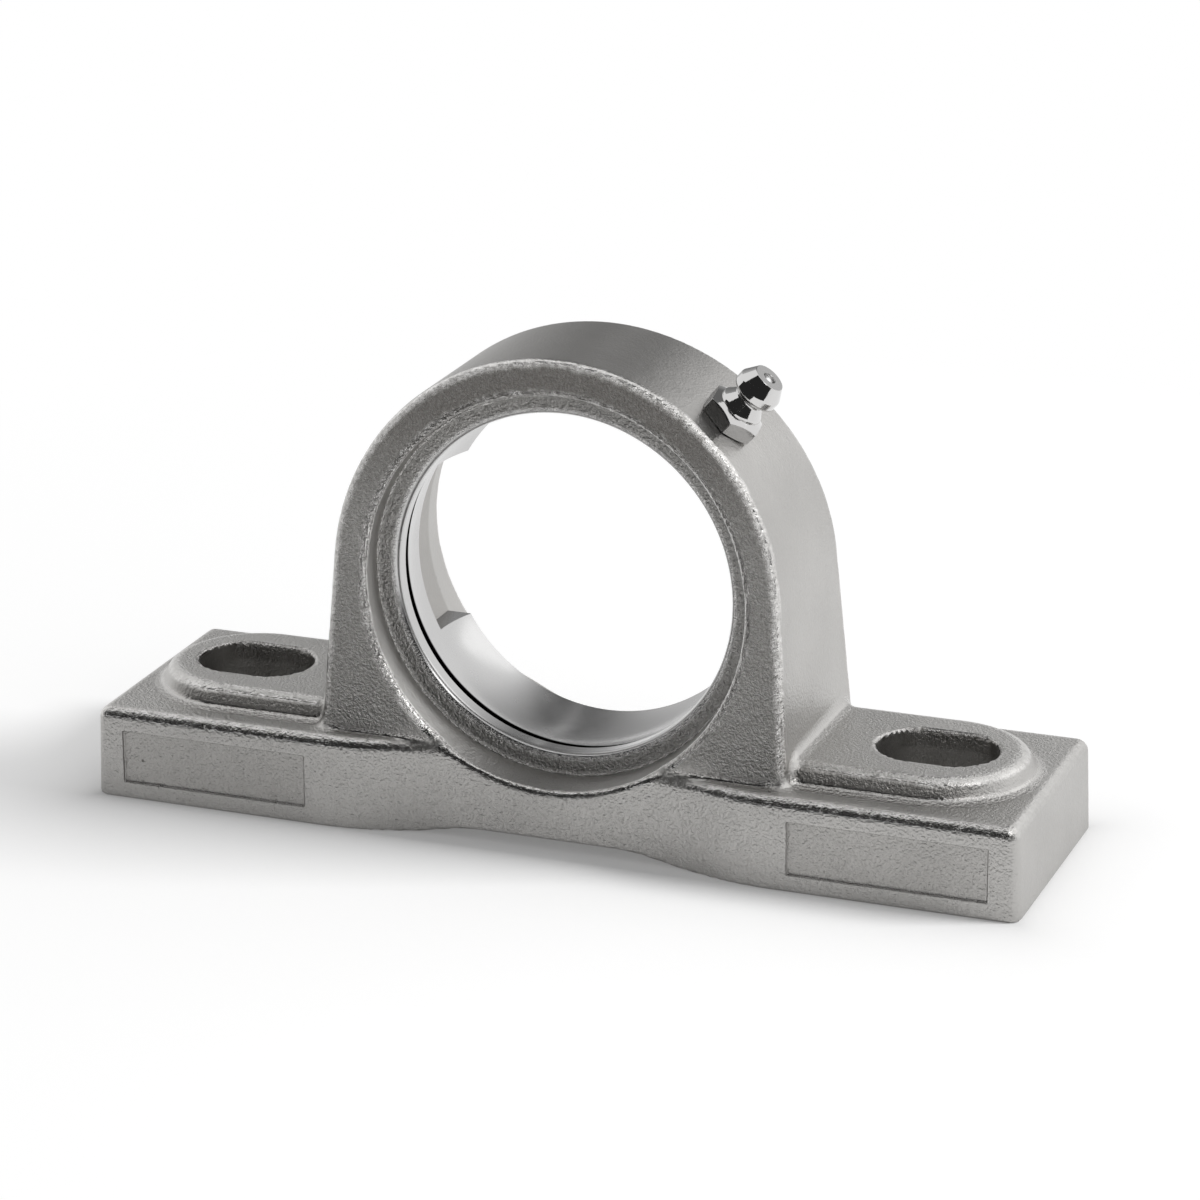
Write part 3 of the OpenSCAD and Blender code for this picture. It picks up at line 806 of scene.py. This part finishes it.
def skin_zones(points, normals):
    """Grain, edge, painted shade and gloss at every point. Edge follows the roundings and
    is taken back on the sides of the base, at its ends, behind and round the panels. Its
    bright tint is partly rubbed wear and partly a painted highlight. The painted shade
    lies in the slots and loading slots, on the bare panels, on the pads' forward sides
    and high on the arch's front."""
    x, y, z = points.T
    along, radius = np.abs(x), np.hypot(x, z - CENTRE)
    bend, outside = bend_of(housing_field, points), panel_outline(along, z)
    flank = smooth_step(np.abs(normals[:, 1]), *SIDEWAYS)
    upper = smooth_step(z, *ABOVE_FEET)
    upright = (1 - smooth_step(np.abs(normals[:, 2]), *TILTED)) * (z < FOOT_HEIGHT)
    level = smooth_step(normals[:, 2], *UPWARD) * (1 - smooth_step(z, *PAD_TOP))
    crown = smooth_step(normals[:, 2], *CROWN_FACING) * smooth_step(z, *CROWN_RISE)
    bore = (1 - smooth_step(radius, *BORE_WALL)) * (1 - flank)
    slot = smooth_step(slot_depth(along, y), *SLOT_RIM)
    panel = ((1 - smooth_step(outside, *PANEL_FLOOR))
             * smooth_step(-y, BASE_WIDTH / 2 - 2 * PANEL_DEPTH,
                           BASE_WIDTH / 2 - PANEL_DEPTH))
    panel_rim = ((1 - smooth_step(outside, *PANEL_RIM)) * (-y > BASE_WIDTH / 2 - 1)
                 * (z < PANEL_BOTTOM + PANEL_HEIGHT + 1))
    pad_front = (smooth_step(z, *PAD_SIDE) * smooth_step(-normals[:, 1], *FORWARD)
                 * (along > PAD_FROM))
    loading = ((radius < LOADING_WALL + 0.3) & (np.abs(z - CENTRE) < LOADING_HALF + 1)
               & (y < LOADING_DEPTH) & (y > -HIDDEN))
    high = flank * smooth_step(z, *HIGH_UP) * smooth_step(-y, *FRONT_HALF)

    # The edge tint is partly rubbed wear and partly a painted highlight, so it is taken
    # back on upright corners, the foot ends, behind the lip and on the panel rims.
    edge = smooth_step(bend, *BENT) * smooth_step(z, *SOLE)
    edge = edge * (1 - 0.4 * smooth_step(y, *BEHIND_LIP))
    edge = edge * (1 - np.where(along < WAIST_REACH / 2, 1.0, 0.9) * upright)
    edge = edge * (1 - 0.5 * smooth_step(along, *FOOT_END))
    gloss = np.maximum(edge, smooth_step(-bend, *BENT) * (1 - upright))
    grain = (0.03 + flank * (0.07 + 0.78 * upper) + 0.12 * level) * (1 - 0.75 * bore)
    grain = (grain - 0.05 * crown) * (1 - 0.85 * edge * (1 - 0.4 * upper))
    # Painted shade: slots, bare panels, the pads' forward sides, loading slots and high on
    # the arch's front.
    painted_shade = np.max([0.04 * slot, 0.12 * panel, 0.38 * pad_front, 0.25 * loading,
                   0.50 * high], axis=0)
    return {"grain": np.clip(grain, 0, 1), "edge": edge * (1 - panel_rim), "painted_shade": painted_shade,
            "gloss": gloss}


zones = skin_zones(points, normals)
carry(skin, **zones)
print("zones", {name: round(float(v.mean()), 3) for name, v in zones.items()})
housing_body = piece_from_mesh(skin, cast_steel, "block")
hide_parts("housing")

# %% [markdown]
# The machined seat
# After casting, a lathe bores the front opening and the ball-shaped seat that grips the
# insert's outer ring, with a narrow undercut between them, where the tool runs out.
# These faces are crisp and bright, so they get a mesh of their own: a profile with tiny
# rounded corners, carried round the shaft. Its outer side is buried in the casting. The
# two loading slots break the rear half, so there the profile runs along two arcs whose
# ends lie on the slots' flat walls.

# %% Helpers for profiles


def left_of(direction):
    """The direction turned a quarter turn to the left."""
    return np.stack([-direction[..., 1], direction[..., 0]], -1)


def rounded_loop(table, steps=4):
    """A closed outline with every corner rounded by an arc: the arc starts and ends at
    radius times the tangent of half the turn from the corner. The table gives each
    corner's two coordinates and its radius, and may have leading axes, one outline for
    each. Gives points and their directions of travel."""
    corners, radii = table[..., :2], table[..., 2]
    before = corners - np.roll(corners, 1, -2)
    before /= np.linalg.norm(before, axis=-1)[..., None]
    after = np.roll(before, -1, -2)
    cross = before[..., 0] * after[..., 1] - before[..., 1] * after[..., 0]
    turn = np.arctan2(cross, (before * after).sum(-1))
    side = np.sign(turn) + (turn == 0)
    start = corners - before * (radii * np.tan(np.abs(turn) / 2))[..., None]
    centre = start + left_of(before) * (side * radii)[..., None]
    angles = turn[..., None] * np.linspace(0, 1, steps + 1)
    cosine, sine = np.cos(angles)[..., None], np.sin(angles)[..., None]
    travel = before[..., None, :] * cosine + left_of(before)[..., None, :] * sine
    arcs = centre[..., None, :] - left_of(travel) * (side * radii)[..., None, None]
    shape = turn.shape[:-1] + (-1, 2)
    return arcs.reshape(shape), travel.reshape(shape)


def grid_faces(rows, columns, close_rows, close_columns):
    """Quads between neighbouring points of a grid that is stored row by row."""
    row = np.arange(rows if close_rows else rows - 1)[:, None]
    column = np.arange(columns if close_columns else columns - 1)[None, :]
    next_row, next_column = (row + 1) % rows, (column + 1) % columns
    return np.stack([row * columns + column, next_row * columns + column,
                     next_row * columns + next_column, row * columns + next_column],
                    -1).reshape(-1, 4)


def faces_outward(points, faces, normals):
    """The same faces, turned over if most of them face against the given normals."""
    a, b, c = (points[faces[:, k]] for k in (0, 1, 2))
    facing = (np.cross(b - a, c - a) * normals[faces[:, 0]]).sum()
    return faces if facing > 0 else faces[:, ::-1].copy()


def smooth_piece(name, points, faces, normals, material):
    """A piece whose shading normals are given for every point."""
    points, normals = points.reshape(-1, 3), normals.reshape(-1, 3)
    normals = normals / np.linalg.norm(normals, axis=1)[:, None]
    mesh = mesh_from_arrays(name, points, faces_outward(points, faces, normals))
    mesh.normals_split_custom_set_from_vertices(normals.tolist())
    return piece_from_mesh(mesh, material, "block")


def round_the_shaft(outline, travel, angles):
    """A profile of radius and Y carried round the shaft: points and outward normals, one
    row for each point of the profile. The metal lies on the left of the direction."""
    radius, y = outline[..., 0], outline[..., 1]
    outward = -left_of(travel)
    cosine, sine = np.cos(angles), np.sin(angles)
    points = np.stack(np.broadcast_arrays(
        radius * cosine, y, CENTRE + radius * sine), -1)
    normals = np.stack(np.broadcast_arrays(
        outward[..., 0] * cosine, outward[..., 1], outward[..., 0] * sine), -1)
    return points, normals


# %% Finish of the machined faces
# The near-black groove tint is painted shade in the undercut.
GROOVE_TINT, SEAT_TINT, SEAT_ROUGHNESS = (0.02, 0.02, 0.02), (0.56, 0.557, 0.555), 0.23
RING_SIZE, RING_DEPTH, RING_STRETCH, STAIN_SIZE = 0.00045, 0.0000006, 0.02, 0.004


def turned_material(name):
    """Lathe-turned steel: fine rings that depend on the place along the shaft alone.
    Where the mesh carries the value groove it is painted near black, painted shade in
    the undercut, and where it carries the value cast, the unmachined skin takes over."""
    material, tree, output = empty_material(name)
    place = add_node(tree, "TexCoord").outputs["Object"]
    stretched = add_node(tree, "Mapping", {
        "Vector": place, "Scale": (RING_STRETCH, 1, RING_STRETCH)}).outputs[0]
    rings = noise(tree, stretched, RING_SIZE, 2.0)
    stain = noise(tree, place, STAIN_SIZE, 3.0)
    dull = grey_ramp(tree, stain, 0.3, 0.7, SEAT_ROUGHNESS * 0.8, SEAT_ROUGHNESS * 1.2)
    tint = mix_colours(tree, carried(tree, "groove"), rgba(SEAT_TINT), rgba(GROOVE_TINT))
    metal = metal_shader(tree, tint, dull, rings, RING_DEPTH)
    skin = cast_shader(tree, *(carried(tree, value) for value in CARRIED))
    both = add_node(tree, "MixShader", {0: carried(tree, "cast"), 1: metal, 2: skin})
    tree.links.new(both.outputs[0], output.inputs["Surface"])
    return material


ground_steel = turned_material("ground_steel")

# %% Front half of the seat
OPENING, SEAT_RADIUS, BURIED, SEAM = 25.05, 26.0, 28.6, 0.4
UNDERCUT_FRONT, UNDERCUT_BACK, UNDERCUT_RADIUS = 7.0, 5.25, 26.3
RIDGE_RADIUS, RIDGE_PLACE = 27.95, -10.4


def seat_radius(y):
    """Radius of the ball-shaped seat at a place along the shaft."""
    return np.sqrt(SEAT_RADIUS ** 2 - y ** 2)


def ball_corners(start, end, count):
    """Corners along the ball-shaped seat, rounded so much that they make one arc."""
    y = np.linspace(start, end, count)
    radii = np.full(count, SEAT_RADIUS - 0.2)
    radii[[0, -1]] = 0.03
    return np.column_stack([seat_radius(y), y, radii])


front_corners = np.concatenate([
    [(BURIED, -9.6, 0.1), (28.5, -10.25, 0.05), (27.98, -10.5, 0.16), (27.62, -9.98, 0.25),
     (OPENING, -9.85, 1.25), (OPENING, -UNDERCUT_FRONT, 0.08),
     (UNDERCUT_RADIUS, -UNDERCUT_FRONT, 0.05), (UNDERCUT_RADIUS, -UNDERCUT_BACK, 0.05)],
    ball_corners(-UNDERCUT_BACK, 0, 7), [(BURIED, 0.0, 0.05)]])
outline, travel = rounded_loop(front_corners)
angles = np.linspace(0, 2 * np.pi, 480, endpoint=False)
seat_points, seat_normals = round_the_shaft(outline[:, None], travel[:, None], angles)
faces = grid_faces(len(outline), len(angles), True, True)
seat_front = smooth_piece("seat_front", seat_points, faces, seat_normals, ground_steel)

# %% Zones of the seat's front
across, y = outline.T
ridge = np.hypot(across - RIDGE_RADIUS, y - RIDGE_PLACE)
rim = 1 - smooth_step(across, OPENING + 0.7, OPENING + 1.3)
cast = smooth_step(across, OPENING + 0.35, OPENING + 0.9) * (y < -9)
# Rows of the undercut, painted near black as shade.
groove = ((across > OPENING + 0.1) & (y > -UNDERCUT_FRONT - 0.05)
          & (y < -UNDERCUT_BACK + 0.05))
# The ridge's crest and the opening's rounded rim get the bright edge tint, a painted
# highlight. The rest of the cast shoulder gets a little painted shade.
worn = np.maximum(1 - smooth_step(ridge, 0.15, 0.35), rim)
rows = {"cast": cast, "grain": 0.3 * cast, "groove": groove, "edge": worn, "gloss": worn,
        "painted_shade": 0.06 * smooth_step(ridge, 0.2, 0.5) * (1 - rim)}
carry(seat_front.data, **{name: np.repeat(row, len(angles)) for name, row in rows.items()})
print("seat_front carries", sorted(rows))

# %% Rear halves of the seat, above and below the loading slots


def rear_half(turn):
    """An arc of the seat behind the middle: each row ends where its circle meets the
    loading slot, at the angle whose sine is half the slot's height over the radius."""
    corners = np.concatenate([
        ball_corners(-SEAM, BACK_FLOOR - 0.1, 9),
        [(seat_radius(BACK_FLOOR) + 0.1, BACK_FLOOR, 0.05), (BURIED, BACK_FLOOR, 0.05),
         (BURIED, -SEAM, 0.05)]])
    outline, travel = rounded_loop(corners, 3)
    start = np.arcsin(LOADING_HALF / outline[:, :1])
    share = np.linspace(0, 1, 240)[None, :]
    angles = turn + start + (np.pi - 2 * start) * share
    points, normals = round_the_shaft(outline[:, None], travel[:, None], angles)
    rows, columns = angles.shape
    faces = grid_faces(rows, columns, True, False)
    ends, end_faces = [], []
    for k, column in enumerate((0, columns - 1)):
        ends.append(points[:, column].mean(0))
        rim = np.arange(rows) * columns + column
        fan = np.column_stack([rim, np.roll(rim, -1), np.full(rows, rows * columns + k)])
        end_faces.append(fan if column else fan[:, ::-1])
    return points, normals, faces, np.array(ends), np.concatenate(end_faces)


def piece_with_ends(name, points, normals, faces, ends, end_faces, material, slot):
    """A smooth strip closed by two flat ends, whose corners keep the ends' own normals."""
    flat, flat_normals = points.reshape(-1, 3), normals.reshape(-1, 3)
    turned = faces_outward(flat, faces, flat_normals)
    if not np.array_equal(turned, faces):
        end_faces = end_faces[:, ::-1]
    everything = np.concatenate([flat, ends])
    mesh = mesh_from_arrays(name, everything, turned, end_faces)
    a, b, c = (everything[end_faces[:, k]] for k in (0, 1, 2))
    halves = np.split(np.cross(b - a, c - a), 2)
    end_normals = np.concatenate([np.tile(h.sum(0) / np.linalg.norm(h.sum(0)),
                                          (3 * len(h), 1)) for h in halves])
    unit = flat_normals / np.linalg.norm(flat_normals, axis=1)[:, None]
    mesh.normals_split_custom_set(
        np.concatenate([unit[turned.ravel()], end_normals]).tolist())
    return piece_from_mesh(mesh, material, "block")


for name, turn in (("seat_above", 0.0), ("seat_below", np.pi)):
    piece_with_ends(name, *rear_half(turn), ground_steel, "cast_stainless")

# %% [markdown]
# The grease nipple
# A small turned and plated fitting: a hexagon that a spanner fits, a collar, a tapered
# neck, and a head that the grease gun's jaws grip. Everything but the hexagon is round.
# So for each direction round the axis there is one outline from the shank to the tip,
# and only the hexagon's part of it depends on the direction. Chamfers at the hexagon's
# top and bottom are cones, which meet the flats along the curved lines of a real nut.

# %% Nipple
HEX_FLATS, HEX_HEIGHT, HEX_TURN = 8.0, 2.7, math.radians(40)
COLLAR, COLLAR_HEIGHT, NECK, NECK_PLACE, NECK_LENGTH = 3.3, 3.20, 2.25, 4.60, 0.25
HEAD, HEAD_BAND, BAND_WIDTH, TIP, NIPPLE_HEIGHT = 3.4, 5.75, 1.3, 2.3, 9.0
SHANK, SHANK_LENGTH, SHANK_CHAMFER, CRIMP = 2.98, 5.5, (0.25, 0.3), 0.5
TIP_HOLE, TIP_DEPTH, TIP_CHAMFER, BALL_BORE = 0.9, 0.45, 0.12, 1.25
CHAMFER, BEARING, SEAT_GAP = math.tan(math.radians(30)), 3.8, 0.02


def hexagon_radius(direction):
    """Distance from the axis to a hexagon with softened corners: the flats' distance over
    a high-power mean of the cosines to the six flats."""
    flats = HEX_TURN + np.radians(30) + np.radians(60) * np.arange(6)
    cosines = np.maximum(np.cos(direction[:, None] - flats), 0)
    return HEX_FLATS / 2 / (cosines ** 70).sum(1) ** (1 / 70)


def nipple_outlines(direction):
    """One closed outline for each direction round the axis. Each corner has a radius, a
    height and the radius that rounds it."""
    hexagon, soft = hexagon_radius(direction), np.full(len(direction), 0.05)
    low = [(TIP_HOLE, -SHANK_LENGTH, 0.02),
           (SHANK - SHANK_CHAMFER[0], -SHANK_LENGTH, 0.05),
           (SHANK, SHANK_CHAMFER[1] - SHANK_LENGTH, 0.05), (SHANK, 0.0, 0.05),
           (BEARING, 0.0, 0.02)]
    high = [(COLLAR, HEX_HEIGHT + 0.06, 0.02), (COLLAR, COLLAR_HEIGHT, 0.6),
            (NECK, NECK_PLACE, 0.25), (NECK, NECK_PLACE + NECK_LENGTH, 0.2),
            (HEAD, HEAD_BAND, 0.6), (HEAD, HEAD_BAND + BAND_WIDTH, 0.7),
            (TIP, NIPPLE_HEIGHT, 0.15), (TIP_HOLE + TIP_CHAMFER, NIPPLE_HEIGHT, 0.05),
            (TIP_HOLE, NIPPLE_HEIGHT - TIP_CHAMFER, 0.05),
            (TIP_HOLE, NIPPLE_HEIGHT - TIP_DEPTH, 0.02),
            (BALL_BORE, NIPPLE_HEIGHT - TIP_DEPTH, 0.02),
            (BALL_BORE, CRIMP - SHANK_LENGTH, 0.02),
            (TIP_HOLE, CRIMP - SHANK_LENGTH, 0.02)]
    bottom = np.stack([hexagon, (hexagon - BEARING) * CHAMFER * 0.45, soft], -1)
    top = np.stack([hexagon, HEX_HEIGHT - (hexagon - COLLAR - 0.1) * CHAMFER, soft], -1)
    ones = np.ones((len(direction), 1, 1))
    table = np.concatenate([ones * np.array(low), bottom[:, None], top[:, None],
                            ones * np.array(high)], 1)
    return rounded_loop(table, 5)


def at_nipple(points):
    """Nipple coordinates, across, along Y and up its axis, turned to their place."""
    turn = np.pi / 2 - NIPPLE_ANGLE
    across, along, up = points[..., 0], points[..., 1], points[..., 2]
    up = up + ARCH_RADIUS + SEAT_GAP
    return np.stack([across * math.cos(turn) + up * math.sin(turn), along - NIPPLE_FRONT,
                     CENTRE - across * math.sin(turn) + up * math.cos(turn)], -1)


direction = np.linspace(0, 2 * np.pi, 360, endpoint=False)
outline, travel = nipple_outlines(direction)
radius, height = outline[..., 0], outline[..., 1]
cosine, sine = np.cos(direction)[:, None], np.sin(direction)[:, None]
turned = at_nipple(np.stack([radius * cosine, radius * sine, height], -1))
onward = np.roll(turned, -1, 0) - np.roll(turned, 1, 0)
origin = at_nipple(np.zeros(3))
upward = at_nipple(np.stack([travel[..., 0] * cosine, travel[..., 0] * sine,
                             travel[..., 1]], -1)) - origin
faces = grid_faces(len(direction), outline.shape[1], True, True)
nipple = smooth_piece("grease_nipple", turned, faces, np.cross(onward, upward),
                      plated_steel)
carry(nipple.data, worn=((height > NIPPLE_HEIGHT - TIP_DEPTH / 2)
                         & (radius < TIP - 0.02)).ravel().astype(float))
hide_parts("nipple_body")

# %% Materials on the CAD nodes
for name, material in (("housing", cast_steel), ("nipple_body", plated_steel),
                       ("check_ball", ball_steel), ("check_spring", spring_steel)):
    slots = nodes[name].data.materials
    slots.clear()
    slots.append(material)
    print(name, "wears", material.name)
